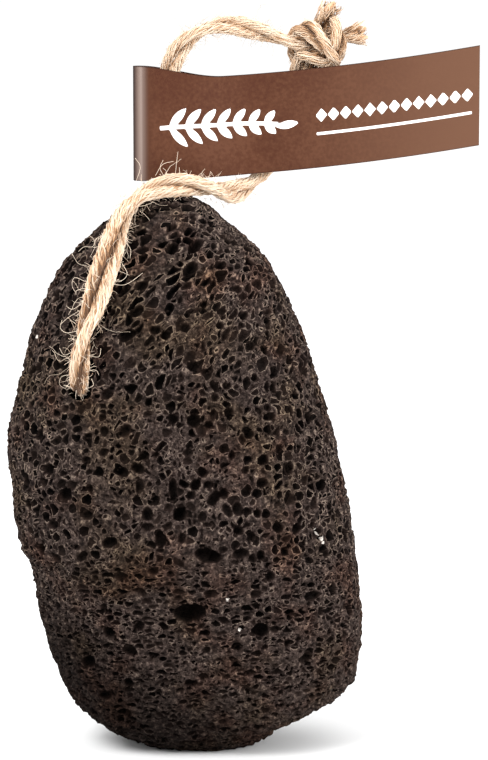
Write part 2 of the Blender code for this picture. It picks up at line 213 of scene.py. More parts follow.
def drift(along, amount_and_wave, draw):
    """A smooth random number, from about minus to plus the amount, at each place along a strand."""
    amount, wave = amount_and_wave
    waves = [np.sin(math.tau * (along / (wave * share) + draw.random())) for share in (1.0, 0.63, 0.41)]
    return amount * sum(waves) / 2


def new_yarn():
    return {"points": [], "faces": [], "tone": [], "fibre": [], "count": 0}


def lay_strand(yarn, line, side, radius, sides, tone, draw):
    """One strand as a closed tube. Each point also gets its tone and its place on the strand."""
    way = unit(np.gradient(line, axis=0))
    first = unit(side - way * (side * way).sum(1, keepdims=True))
    second = np.cross(way, first)
    angle = math.tau * np.arange(sides) / sides
    across = np.cos(angle)[None, :, None] * first[:, None] + np.sin(angle)[None, :, None] * second[:, None]
    rings = len(line)
    yarn["points"].append((line[:, None] + across * radius[:, None, None]).reshape(-1, 3))
    yarn["tone"].append(np.repeat(np.broadcast_to(tone, rings), sides))
    place = np.empty((rings, sides, 3))
    place[..., 0] = distance_along(line)[:, None] / MM
    place[..., 1] = np.cos(angle)[None] + 10 * draw.random()
    place[..., 2] = np.sin(angle)[None] + 10 * draw.random()
    yarn["fibre"].append(place.reshape(-1, 3))
    start = yarn["count"]
    grid = start + np.arange(rings * sides).reshape(rings, sides)
    onward = np.roll(grid, -1, axis=1)
    walls = np.stack([grid[:-1], onward[:-1], onward[1:], grid[1:]], -1).reshape(-1, 4)
    yarn["faces"] += walls.tolist()
    yarn["faces"] += [grid[0, ::-1].tolist(), grid[-1].tolist()]
    yarn["count"] += rings * sides


def closed_ends(rings, blunt=2):
    """A factor for a strand's radius that rounds off its two ends."""
    place = np.minimum(np.arange(rings), np.arange(rings)[::-1])
    return np.clip(0.35 + 0.65 * place / blunt, 0, 1)


def lay_twine(
    yarn, path, size, first_turn, draw, turn_length=PLY_TURN, strands=STRANDS, brush=0.0, parted=1.0,
    browned=(0, 0)
):
    """Two plies wound round each other along a path. size is the twine's thickness at each point, 1 where it
    is as spun, parted is how far the plies are from pressed into one, and browned is how much browner each of
    them is made, all over and more in the groove between them, which is painted shade. brush spreads the
    strands at the path's far end, where it was cut."""
    way, side, over = carried_frame(path)
    along = distance_along(path)
    size = np.broadcast_to(size, len(path))
    turned = first_turn + math.tau * np.cumsum(np.gradient(along) / turn_length)
    spread = 1 + brush * np.clip(1 - (along[-1] - along) / BRUSH_LENGTH, 0, 1) ** 1.5
    for ply in range(2):
        turn = turned + math.pi * ply
        apart = PLY_OFFSET * size * parted
        middle = path + apart[:, None] * (np.cos(turn)[:, None] * side + np.sin(turn)[:, None] * over)
        core = size * PLY_RADIUS * CORE_SHARE * closed_ends(len(path))
        lay_strand(yarn, middle, side, core, 8, CORE_TONE, draw)
        for strand in range(strands):
            angle = math.tau * (strand + draw.random()) / strands + drift(along, ANGLE_DRIFT, draw)
            angle = angle - math.tau * along / STRAND_TURN
            reach = PLY_RADIUS * size * (STRAND_REACH + drift(along, REACH_DRIFT, draw)) * spread
            line = middle + reach[:, None] * (np.cos(angle)[:, None] * side + np.sin(angle)[:, None] * over)
            width = size * draw.uniform(*STRAND_WIDTHS) * MM * (1 + drift(along, WIDTH_DRIFT, draw))
            width = width * closed_ends(len(path))
            # A strand that faces the other ply, in the groove between them, gets painted shade.
            inner = np.maximum(-np.cos(angle - turn), 0)
            sunk = (0.5 - 0.5 * np.cos(angle - turn)) ** 1.5
            tone = STRAND_TONE - INNER_SHADE * inner + draw.uniform(-TONE_SPREAD, TONE_SPREAD)
            tone = tone + drift(along, TONE_DRIFT, draw) - browned[ply] * (BROWN_ALL + GROOVE_SHADE * sunk)
            ends = [draw.randrange(0, 4), len(path) - draw.randrange(0, 4)] if brush else [0, len(path)]
            piece = slice(*ends)
            lay_strand(yarn, line[piece], side[piece], width[piece], 4, tone[piece], draw)


def yarn_object(name, yarn, finish):
    mesh = bpy.data.meshes.new(name)
    mesh.from_pydata(np.concatenate(yarn["points"]), [], yarn["faces"])
    mesh.attributes.new("tone", "FLOAT", "POINT").data.foreach_set("value", np.concatenate(yarn["tone"]))
    places = np.concatenate(yarn["fibre"]).ravel()
    mesh.attributes.new("fibre", "FLOAT_VECTOR", "POINT").data.foreach_set("vector", places)
    mesh.shade_smooth()
    mesh.materials.append(finish)
    made = bpy.data.objects.new(name, mesh)
    bpy.context.scene.collection.objects.link(made)
    return made


def add_ramp(tree, value, stops):
    """The colour that a ramp gives a value. Each of its stops is a place from 0 to 1 and a hex colour."""
    made = add_node(tree, "ValToRGB", (value,), out=None)
    while len(made.color_ramp.elements) < len(stops):
        made.color_ramp.elements.new(0.5)
    for element, (place, code) in zip(made.color_ramp.elements, stops):
        element.position = place
        element.color = colour(code)
    return made.outputs[0]


# Retted jute fibre, spun and undyed: matt, with a faint silky sheen, straw to golden brown, streaked along
# the fibre. The streaks are 0.1 mm wide and some millimetres long.
JUTE_TONES = ((0.02, "#5c3f28"), (0.24, "#a27851"), (0.56, "#c7ac91"), (0.90, "#dac8b3"))
STREAKS_PER_MM = (0.35, 2.6, 2.6)  # along a fibre, and round it
STREAK_TONE, STREAK_HEIGHT = 0.22, 0.06 * MM

jute, jute_shader = new_finish("jute fibre", 0.78, 0.25)
spun = jute.node_tree
fibre = add_node(spun, "Attribute", attribute_name="fibre", out="Vector")
tone = add_node(spun, "Attribute", attribute_name="tone", out="Fac")
streak = add_node(spun, "Mapping", {"Vector": fibre, "Scale": STREAKS_PER_MM})
streak = add_node(spun, "TexNoise", {"Vector": streak, "Scale": 1.0, "Detail": 3.0})
streak_tone = add_node(spun, "MapRange", (streak, 0.3, 0.7, -STREAK_TONE, STREAK_TONE))
paleness = add_node(spun, "Math", (tone, streak_tone), operation="ADD")
straw = add_ramp(spun, paleness, JUTE_TONES)
spun.links.new(straw, jute_shader.inputs["Base Color"])
jute_bump = add_node(spun, "Bump", {"Height": streak, "Strength": 0.7, "Distance": STREAK_HEIGHT})
spun.links.new(jute_bump, jute_shader.inputs["Normal"])
jute_shader.inputs["Sheen Weight"].default_value = 0.15

route = smooth_path([Vector(p) * MM for p in TWINE_ROUTE], RING_STEP)
low, high = HOLE_HEIGHTS
full = np.clip((route[:, 2] - low) / (high - low), 0, 1)
full = full * full * (3 - 2 * full)
slack = (route[:, 1] < 0) & (route[:, 2] > SLACK_HEIGHTS[0]) & (route[:, 2] < SLACK_HEIGHTS[1])
held = (np.abs(route[:, 1]) < HOLE_DEPTH) & (full < 0.05)
twine_size = (0.96 + 0.04 * full) * np.where(slack, SLACK_SIZE, 1.0)
twine_size *= np.where(route[:, 2] > FREE_ABOVE, FREE_SIZE, LAID_SIZE)
twine_size *= np.where(held, HOLE_SQUEEZE, 1.0)
turn_length = np.where(slack, SLACK_TURN, PLY_TURN)
brown = (route[:, 1] < 0) & (route[:, 2] > BROWN_HEIGHTS[0]) & (route[:, 2] < BROWN_HEIGHTS[1])
evened = np.ones(2 * BLENDED_OVER + 1) / (2 * BLENDED_OVER + 1)
twine_size, turn_length, brown = (
    np.convolve(np.pad(rows.astype(float), BLENDED_OVER, mode="edge"), evened, "valid")
    for rows in (twine_size, turn_length, brown)
)
nearest = int(np.argmin(np.linalg.norm(route - SIDE_BY_SIDE_AT, axis=1)))
way, side, over = (rows[nearest] for rows in carried_frame(route))
beside = np.cross(way, (0, 1, 0))
turned = math.tau * np.cumsum(np.gradient(distance_along(route)) / turn_length)[nearest]
first_turn = math.atan2(beside @ over, beside @ side) - turned
twine_yarn = new_yarn()
lay_twine(
    twine_yarn, route, twine_size, first_turn, random.Random(11), turn_length,
    parted=PRESSED + (1 - PRESSED) * full, browned=[1 - full + more * brown for more in BROWNER]
)
twine = yarn_object("twine", twine_yarn, jute)
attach(twine, "root")
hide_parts("jute_twine")


# ----------------------------------------------------------------------
# The twine's fuzz. Loose fibre ends stand out all along real jute twine, most where it has been rubbed:
# short ones as a bristle, and long ones in curls. They are pale, stiff and thinner than a tenth of a
# millimetre.

SHORT_HAIRS = 1900
LONG_HAIRS = 260
HAIR_RADIUS = 0.038 * MM
SHORT_LENGTHS, LONG_LENGTHS = (0.9 * MM, 2.6 * MM), (1.8 * MM, 7.0 * MM)
HAIR_WANDER = 0.22
LONG_FIBRES = (  # the long loose ones that show most, in millimetres
    ((-15.7, -10.0, 85.3), (-14.6, -10.4, 84.5), (-14.4, -10.6, 83.4), (-15.2, -10.4, 81.6)),
    ((-12.9, -11.0, 85.1), (-14.1, -11.4, 84.7), (-14.7, -11.4, 83.4), (-16.1, -10.6, 83.3),
     (-17.1, -10.0, 82.5)),
    ((-18.1, -10.6, 82.2), (-17.0, -11.0, 80.6), (-15.7, -12.0, 80.4)),
    ((-15.6, -14.6, 78.0), (-17.6, -14.0, 78.6), (-17.9, -14.0, 77.3), (-17.3, -14.4, 76.3)),
    ((-19.9, -12.4, 71.0), (-18.7, -13.4, 72.1), (-16.6, -15.6, 73.6)),
    ((-11.4, -17.4, 77.9), (-9.5, -18.6, 77.9), (-8.4, -18.8, 78.4), (-6.5, -18.8, 79.8)),
    ((-9.8, -16.6, 81.1), (-9.0, -17.4, 79.5), (-9.7, -17.8, 78.6), (-11.5, -17.0, 78.4)),
    ((-8.1, -4.8, 97.2), (-7.3, -5.0, 95.9), (-8.0, -4.8, 93.3)),
    ((-4.9, -4.0, 94.3), (-3.6, -5.0, 96.2), (-1.9, -5.2, 96.7)),
    ((-1.7, -3.4, 93.6), (-1.5, -4.6, 95.9), (-1.2, -4.6, 98.2)),
    ((-3.2, -3.8, 93.8), (-4.1, -4.8, 95.6), (-3.6, -5.0, 96.9)),
    ((-16.2, -15.8, 74.7), (-18.0, -14.4, 73.6), (-18.9, -13.6, 74.1)),
    ((-17.0, -17.0, 70.4), (-18.9, -15.6, 70.0), (-19.8, -14.8, 70.7), (-19.5, -14.6, 72.0)),
    ((-17.6, -17.6, 67.2), (-19.2, -16.0, 66.5), (-19.9, -15.4, 67.5)),
    ((-17.8, -18.0, 63.6), (-19.6, -16.6, 63.0), (-19.9, -16.0, 61.7), (-18.9, -16.6, 61.1)),
    ((-15.4, -19.6, 66.9), (-13.4, -20.2, 66.7), (-13.1, -20.2, 68.0)),
    ((-15.6, -19.8, 64.2), (-13.9, -20.4, 64.6), (-13.4, -20.6, 63.8)),
    ((-15.8, -19.6, 61.4), (-14.3, -20.4, 62.2), (-14.6, -20.4, 63.2)),
    ((-9.6, -14.6, 84.8), (-8.5, -15.6, 83.2), (-8.6, -16.2, 81.9)),
)


def any_way(draw):
    return Vector([draw.gauss(0, 1) for _ in range(3)])


def lay_hair(yarn, start, heading, length, curl, draw):
    """One loose fibre: it sets off along heading and bends evenly, with a little wander."""
    steps = max(5, round(length / (0.45 * MM)))
    place, way = Vector(start), Vector(heading).normalized()
    axis = any_way(draw).normalized()
    points = []
    for _ in range(steps):
        points.append(tuple(place))
        way = (way + way.cross(axis) * curl * draw.uniform(0.3, 1.7) / steps).normalized()
        way = (way + any_way(draw) * HAIR_WANDER).normalized()
        place = place + way * length / steps
    line = np.array(points)
    radius = HAIR_RADIUS * draw.uniform(0.7, 1.2) * np.linspace(1.0, 0.6, steps)
    lay_strand(yarn, line, carried_frame(line)[1], radius, 3, draw.uniform(0.7, 1.0), draw)


draw = random.Random(23)
fuzz_yarn = new_yarn()
way, side, over = carried_frame(route)
for number in range(SHORT_HAIRS + LONG_HAIRS):
    k = draw.randrange(6, len(route) - 6)
    _, back, up = route[k] / MM
    if (abs(back) < 17 and up < 63) or (back > 5 and 92 < up < 112):  # in the stone, or behind the tag
        continue
    angle = draw.uniform(0, math.tau)
    outward = Vector(side[k]) * math.cos(angle) + Vector(over[k]) * math.sin(angle)
    onward = Vector(way[k]) * draw.choice((-1, 1))
    start = Vector(route[k]) + outward * TWINE_WIDTH * 0.40 * twine_size[k]
    if number < SHORT_HAIRS:
        heading = outward + onward * draw.uniform(0.5, 3.5)
        lay_hair(fuzz_yarn, start, heading, draw.uniform(*SHORT_LENGTHS), draw.uniform(0, 2), draw)
    else:
        heading = outward + onward * draw.uniform(-0.2, 1.2)
        length = LONG_LENGTHS[0] + (LONG_LENGTHS[1] - LONG_LENGTHS[0]) * draw.random() ** 2
        lay_hair(fuzz_yarn, start, heading, length, draw.uniform(0.2, 2.4), draw)
for points in LONG_FIBRES:
    line = smooth_path([Vector(p) * MM for p in points], 0.35 * MM)
    radius = HAIR_RADIUS * np.linspace(1.15, 0.8, len(line))
    lay_strand(fuzz_yarn, line, carried_frame(line)[1], radius, 3, 0.95, draw)
fuzz = yarn_object("twine_fuzz", fuzz_yarn, jute)
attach(fuzz, "root")


# ----------------------------------------------------------------------
# The knot. The twine's two ends are tied together: one goes straight through, the other makes two turns
# round it and is tucked under. Both are cut off short and have opened into brushes.

KNOT_SIZE = 0.80  # how thick the pulled-tight twine is
KNOT_TURN = 22 * MM
KNOT_STRANDS = 34
# How much browner each end of the knot is made, all over and, as painted shade, in its grooves:
KNOT_BROWNED = (0.22, 0.34)
KNOT_THROUGH = (
    (17.6, 8.6, 115.8), (20.6, 9.3, 115.2), (23.6, 9.6, 115.6), (26.4, 9.6, 116.6), (29.8, 9.6, 117.2),
)
KNOT_WRAP = (
    (19.0, 9.5, 112.0), (18.4, 10.4, 113.6), (18.2, 10.8, 115.8), (18.7, 9.6, 117.8), (20.1, 7.6, 117.8),
    (21.7, 6.3, 116.2), (23.2, 6.2, 114.4), (24.4, 7.6, 113.3), (24.6, 10.2, 113.4), (23.6, 11.9, 115.2),
    (23.4, 11.3, 117.4), (24.0, 9.0, 118.5), (24.9, 6.9, 117.3), (25.0, 6.3, 115.4), (24.2, 7.8, 113.9),
    (22.6, 9.6, 114.2), (22.0, 10.0, 116.6), (22.8, 9.4, 119.4), (24.2, 8.8, 122.2),
)
# What shows between the turns:
KNOT_HEART = (
    (18.4, 9.2, 113.4), (20.6, 7.9, 113.3), (22.8, 7.9, 112.9), (24.8, 9.4, 114.0), (24.0, 9.4, 117.0),
)
KNOT_UNDER = (
    (18.6, 10.2, 112.4), (20.8, 10.6, 111.7), (23.2, 10.4, 112.3), (24.9, 9.6, 113.9), (25.2, 9.2, 116.0),
)
KNOT_MIDDLE = Vector((21.8, 9.2, 115.4)) * MM
KNOT_OUTSIDE = 3.0 * MM  # from its middle
KNOT_HAIRS = 420

draw = random.Random(31)
knot_yarn = new_yarn()
for points, first_turn, brush in (
    (KNOT_THROUGH, 1.2, 0.95), (KNOT_WRAP, 0.2, 1.3), (KNOT_HEART, 0.0, 0.0), (KNOT_UNDER, 0.9, 0.0)
):
    line = smooth_path([Vector(p) * MM for p in points], 0.4 * MM)
    lay_twine(
        knot_yarn, line, KNOT_SIZE, first_turn, draw, KNOT_TURN, KNOT_STRANDS, brush, browned=KNOT_BROWNED
    )
surface = np.concatenate(knot_yarn["points"])
surface = surface[np.linalg.norm(surface - KNOT_MIDDLE, axis=1) > KNOT_OUTSIDE]
for _ in range(KNOT_HAIRS):
    start = Vector(surface[draw.randrange(len(surface))])
    heading = (start - KNOT_MIDDLE).normalized() + Vector([draw.gauss(0, 0.7) for _ in range(3)])
    lay_hair(knot_yarn, start, heading, draw.uniform(0.5, 1.5) * MM, draw.uniform(0, 2), draw)
knot = yarn_object("knot", knot_yarn, jute)
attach(knot, "root")
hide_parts("twine_knot")


# ----------------------------------------------------------------------
# The stone. Dark scoria sold as a foot stone: lava that set while full of gas, cut and tumbled to an egg
# shape so that its bubbles lie open. Thin glassy walls are left between them. It is drilled through for the
# twine.

STATIONS = (  # in millimetres: a height, then the stone's left, right, front and back there
    (-1.6, 0.0, 1.0, -0.5, 0.5), (-0.6, -7.5, 9.0, -7.0, 7.0), (0.8, -10.5, 12.5, -9.5, 9.5),
    (2.4, -13.0, 15.5, -11.5, 11.5), (4.4, -15.4, 19.9, -13.8, 13.6), (7.4, -18.4, 24.9, -16.0, 15.6),
    (10.9, -20.4, 27.6, -17.8, 17.4), (16.3, -23.0, 29.1, -19.6, 19.4), (22.0, -24.5, 29.3, -20.8, 20.8),
    (28.0, -24.9, 28.2, -21.6, 21.6), (30.6, -25.4, 27.6, -21.8, 21.8), (33.0, -27.0, 27.2, -22.0, 22.0),
    (40.3, -28.6, 26.7, -22.0, 22.0), (46.0, -29.4, 25.6, -21.8, 21.8), (51.8, -29.2, 24.0, -21.4, 21.2),
    (57.9, -27.9, 22.2, -20.8, 20.4), (64.6, -26.2, 20.2, -19.6, 19.2), (70.5, -24.7, 18.5, -17.8, 17.6),
    (75.7, -22.5, 16.2, -15.8, 15.8), (79.9, -20.2, 13.7, -13.8, 13.8), (84.7, -15.7, 9.3, -10.6, 10.8),
    (87.7, -12.3, 6.0, -8.2, 8.4), (89.8, -8.8, 3.6, -5.8, 6.0), (91.0, -2.6, 0.4, -1.4, 1.6),
)
CORNER = 2.25  # 2 gives an oval level cut, and more gives a squarer one
LUMP_SIZE, LUMP_HEIGHT = 13 * MM, 0.8 * MM
KNOB_SIZE, KNOB_HEIGHT = 4.5 * MM, 0.35 * MM
HOLE_WIDTH = 3.5 * MM
HOLE_FRONT, HOLE_BACK = Vector((-16.8, -26.0, 61.0)) * MM, Vector((-15.8, 26.0, 60.8)) * MM
STONE_GRID = 0.24 * MM
STONE_TRIANGLES = 198000
DEEPEST_CUT = 2.6 * MM
DARKEST, DARKEST_FROM = 0.68, 1.1 * MM  # painted shade: how near black a wide bubble is made once it is this deep
CARVED_RIM = 0.24 * MM  # how far round a carved bubble its rim goes
RIMS_KEEP = 0.9  # how much of the foam is kept off these rims
UNEVEN_SIZE, UNEVENNESS = 1.4 * MM, 0.24 * MM  # of a carved bubble's wall
FRONT_BUBBLES = (  # the ones that show most, in millimetres: x, height, half length, half width, slope
    (-2.8, 89.8, 2.1, 0.7, 0), (-7.1, 85.6, 1.2, 0.9, 30), (-2.1, 86.1, 1.4, 0.6, 38),
    (-1.3, 84.8, 1.4, 0.5, 10), (-2.0, 83.0, 1.5, 0.9, 45), (1.6, 83.3, 2.1, 0.9, 40),
    (-6.8, 82.7, 1.2, 0.8, 0), (0.9, 80.0, 1.7, 1.0, 45), (-0.6, 80.6, 0.7, 0.5, 60),
    (-6.8, 77.4, 1.4, 0.8, 25), (-3.3, 77.4, 0.7, 0.4, 60), (0.2, 77.5, 1.2, 0.6, 35),
    (5.6, 80.5, 0.9, 0.9, 0), (8.5, 76.6, 0.9, 0.7, 0), (-7.4, 73.5, 1.4, 0.9, 35),
    (-9.1, 69.8, 1.6, 1.0, 32), (-2.9, 69.9, 0.9, 0.7, 0), (-4.6, 70.7, 0.9, 0.8, 0),
    (-0.0, 71.1, 0.9, 0.9, 0), (3.1, 74.6, 0.9, 0.7, 30), (1.4, 73.7, 1.0, 0.5, 25),
    (6.0, 73.4, 0.9, 0.7, 20), (9.5, 72.8, 1.0, 0.8, 10), (5.7, 71.2, 0.7, 0.7, 0),
    (9.3, 71.2, 0.7, 0.6, 0), (10.6, 68.0, 0.9, 0.9, 0), (12.8, 67.2, 0.9, 0.9, 0),
    (17.5, 65.3, 1.1, 0.8, 80), (1.4, 65.1, 1.0, 0.9, 0), (-0.5, 63.7, 0.9, 0.4, 0),
    (3.3, 64.3, 0.9, 0.5, 0), (-4.4, 65.0, 0.9, 0.5, 0), (-12.2, 60.8, 1.5, 0.8, 40),
    (-12.8, 57.0, 0.7, 0.6, 0), (-5.7, 57.8, 0.9, 0.6, 20), (1.6, 56.5, 1.3, 1.1, 0),
    (-1.9, 56.7, 1.0, 0.9, 80), (4.1, 55.7, 0.9, 0.7, 0), (6.8, 62.0, 0.9, 0.6, 0),
    (5.0, 60.2, 0.8, 0.7, 90), (4.6, 57.4, 1.0, 0.7, 80), (7.1, 57.8, 0.9, 0.8, 40),
    (14.1, 61.3, 1.1, 0.7, 85), (-22.0, 48.1, 1.4, 0.9, 0), (-22.4, 45.7, 1.0, 0.6, 40),
    (-15.6, 50.0, 0.9, 0.7, 0), (-12.7, 51.4, 1.0, 0.7, 20), (-7.3, 49.1, 1.3, 0.9, -20),
    (-6.2, 51.0, 0.9, 0.8, 0), (-4.4, 51.2, 0.7, 0.6, 0), (-9.7, 48.3, 1.0, 0.9, 0),
    (-7.1, 46.1, 1.4, 0.8, 88), (-1.9, 45.7, 2.1, 0.9, 90), (-14.8, 45.7, 0.9, 0.7, 80),
    (7.6, 51.0, 0.9, 0.7, 80), (3.0, 48.5, 0.9, 0.9, 0), (9.8, 48.6, 0.9, 0.7, 70),
    (1.7, 46.4, 1.1, 1.0, 0), (1.2, 44.7, 0.9, 0.8, 0), (3.9, 46.4, 0.8, 0.8, 0), (4.6, 44.3, 1.5, 1.0, 60),
    (6.5, 45.1, 1.0, 0.8, 90), (6.8, 42.4, 1.3, 0.8, -70), (8.5, 42.5, 1.3, 0.9, -80),
    (11.5, 41.7, 0.8, 0.8, 0), (-5.7, 42.0, 1.4, 0.9, 90), (-5.9, 39.6, 1.2, 0.7, 0),
    (-0.5, 42.0, 1.4, 1.2, 60), (-4.4, 43.9, 0.9, 0.7, 80), (-11.1, 43.6, 1.4, 0.4, 0),
    (-15.3, 41.1, 1.0, 0.8, 0), (-11.8, 37.0, 1.5, 1.0, 20), (-3.5, 37.7, 1.5, 1.0, 90),
    (-0.3, 38.0, 1.0, 0.7, 90), (3.6, 35.1, 2.3, 1.3, -12), (8.8, 35.3, 1.6, 0.9, 10),
    (3.4, 40.2, 0.9, 0.5, -20), (8.4, 39.2, 0.9, 0.9, 0), (10.6, 38.1, 0.9, 0.9, 0),
    (12.2, 35.0, 0.9, 0.9, 0), (-17.0, 35.9, 0.9, 0.5, 10), (-5.0, 32.8, 1.0, 0.7, 0),
    (0.9, 25.8, 2.8, 1.7, 8), (-12.6, 26.1, 1.0, 0.7, 90), (-12.5, 21.9, 1.2, 1.1, 0),
    (-8.9, 18.9, 1.5, 0.9, -10), (-9.0, 13.3, 1.0, 0.9, 0), (-8.3, 15.7, 1.2, 0.4, -30),
    (4.1, 28.9, 1.2, 0.7, 10), (20.5, 27.6, 1.7, 0.9, 5), (22.2, 24.9, 0.9, 0.7, 0),
    (26.7, 24.1, 1.4, 0.9, -60), (14.9, 39.3, 1.1, 1.0, 0), (17.9, 38.8, 1.1, 1.0, 0),
    (19.1, 36.1, 0.9, 0.7, 0), (12.3, 46.4, 1.1, 0.9, 10), (15.8, 35.3, 0.9, 0.8, 0),
    (13.6, 31.3, 1.0, 0.9, -50), (12.3, 22.6, 1.5, 1.3, 0), (14.6, 22.8, 0.9, 0.7, 0),
    (16.8, 57.3, 0.9, 0.7, 80), (20.1, 55.8, 1.0, 0.9, -30), (17.0, 48.5, 1.3, 0.9, 80),
    (10.1, 54.2, 1.0, 0.9, 0), (11.4, 28.7, 1.0, 0.7, 10),
)
FRONT_BUBBLE_SIZE = 0.93  # of these, because the unevenness opens them a little
FRONT_BUBBLE_SINK = 0.25  # how far in a middle lies, in half widths
OTHER_BUBBLES = (  # how many are tried, least and greatest radius, how rare large ones are, how sunk they are
    (500, 0.75, 1.20, 2.4, 0.45), (1200, 0.42, 0.75, 1.3, 0.50)
)
BUBBLE_SPACING = 2.0  # in radii of the two bubbles
BUBBLE_SLOPE, SLOPED_ABOVE = (0.55, 0.5), 60 * MM  # its mean and spread, and where that is reached
ZONE_SIZE, ZONE_CHANGE = 16 * MM, 0.7  # in some zones the bubbles are wider, in others narrower
GRAINS, GRAIN_LEVEL = ((1.0 * MM, 0.55), (2.3 * MM, 0.75)), 0.28  # sizes, then heights and their mean in mm
TWINE_ROOM = 0.1 * MM
SPECKS = (  # the few white crystals that catch the eye, in millimetres: x, height, radius
    (22.2, 36.3, 0.28), (21.3, 38.0, 0.18), (21.7, 37.4, 0.14), (22.5, 35.7, 0.20), (6.9, 27.9, 0.15),
    (8.8, 22.9, 0.12), (-24.4, 68.4, 0.15), (-27.2, 58.6, 0.12),
)
FOOT_HEIGHTS, FOOT_SHADE = (0 * MM, 18 * MM), 0.36  # painted shade: the stone is darker towards its foot
FOOT_LEAN = 0.70  # and that painted shade reaches higher on the left
# The foam: for each size of bubble, how wide one and its wall are, the share that lies open, the share that
# does besides at the upper left, half a wall's thickness and the greatest depth, both in widths.
FOAM = (
    (1.70 * MM, 0.56, 0.38, 0.070, 0.60), (1.12 * MM, 0.74, 0.22, 0.080, 0.70),
    (0.72 * MM, 0.70, 0.0, 0.10, 0.60), (0.42 * MM, 0.45, 0.0, 0.12, 0.45)
)
FOAM_BENDS = ((3.6 * MM, 1.4 * MM), (0.9 * MM, 0.30 * MM))  # sizes and heights of the waves that bend it
BOWL_WIDTH, BOWL_EDGE = 0.25, 0.6  # how far in a bubble is deepest, in widths, and how deep it starts, of 1
RIM = 0.13 * MM  # how far round a bubble its rim gets a painted highlight
ROUNDNESS = (0.43, 0.72)  # a bubble's radius at its narrowest and at its widest, in widths
EDGE_IN_MESH = 0.22 * MM  # how softly a wall turns down into its bubble, as far as the mesh can show it
EDGE_IN_COLOUR = (0.045 * MM, 0.19 * MM)  # where it is fresh, and where it is worn
WORN_HEIGHTS = (8 * MM, 38 * MM)  # worn smoother from the higher one down to the lower one
WORN_PROUD = (-22 * MM, -15 * MM)  # and where the front stands out this far
WORN_RIMS, WORN_PITS = 0.8, 0.30  # how much of their contrast is lost there
SHALLOWEST = 0.36  # of the greatest depth
FLAT_BELOW = 34 * MM  # bubbles were pressed flatter under this height
FLATTENING = 0.75
SLANT_BETWEEN = (62 * MM, 82 * MM)  # from here up to here they come to slant up to the right
SLANT, SLANTING = Vector((0.77, 0.0, 0.64)), -0.22  # which way, and how much they are drawn out
COARSE_TO_FINE = (-4 * MM, 7 * MM)  # up there, bubbles lie open more on the left and less on the right
FINER = -1.0


def on_stone(height, turn):
    """Points of the smooth form at their heights, seen from its middle at angles turned from +X."""
    rows = np.array(STATIONS) * MM
    left, right, front, back = (np.interp(height, rows[:, 0], rows[:, k]) for k in (1, 2, 3, 4))
    along, across = np.cos(turn), np.sin(turn)
    reach = (np.abs(along) ** CORNER + np.abs(across) ** CORNER) ** (-1 / CORNER)
    x = (left + right) / 2 + (right - left) / 2 * reach * along
    y = (front + back) / 2 + (back - front) / 2 * reach * across
    return np.stack([x, y, height], -1)


def point_array(mesh, what="co"):
    rows = np.empty(len(mesh.vertices) * 3)
    mesh.vertices.foreach_get(what, rows)
    return rows.reshape(-1, 3)


def apply_modifier(thing, kind, **settings):
    bpy.context.view_layer.objects.active = thing
    step = thing.modifiers.new(kind, kind)
    for key, value in settings.items():
        setattr(step, key, value)
    bpy.ops.object.modifier_apply(modifier=step.name)


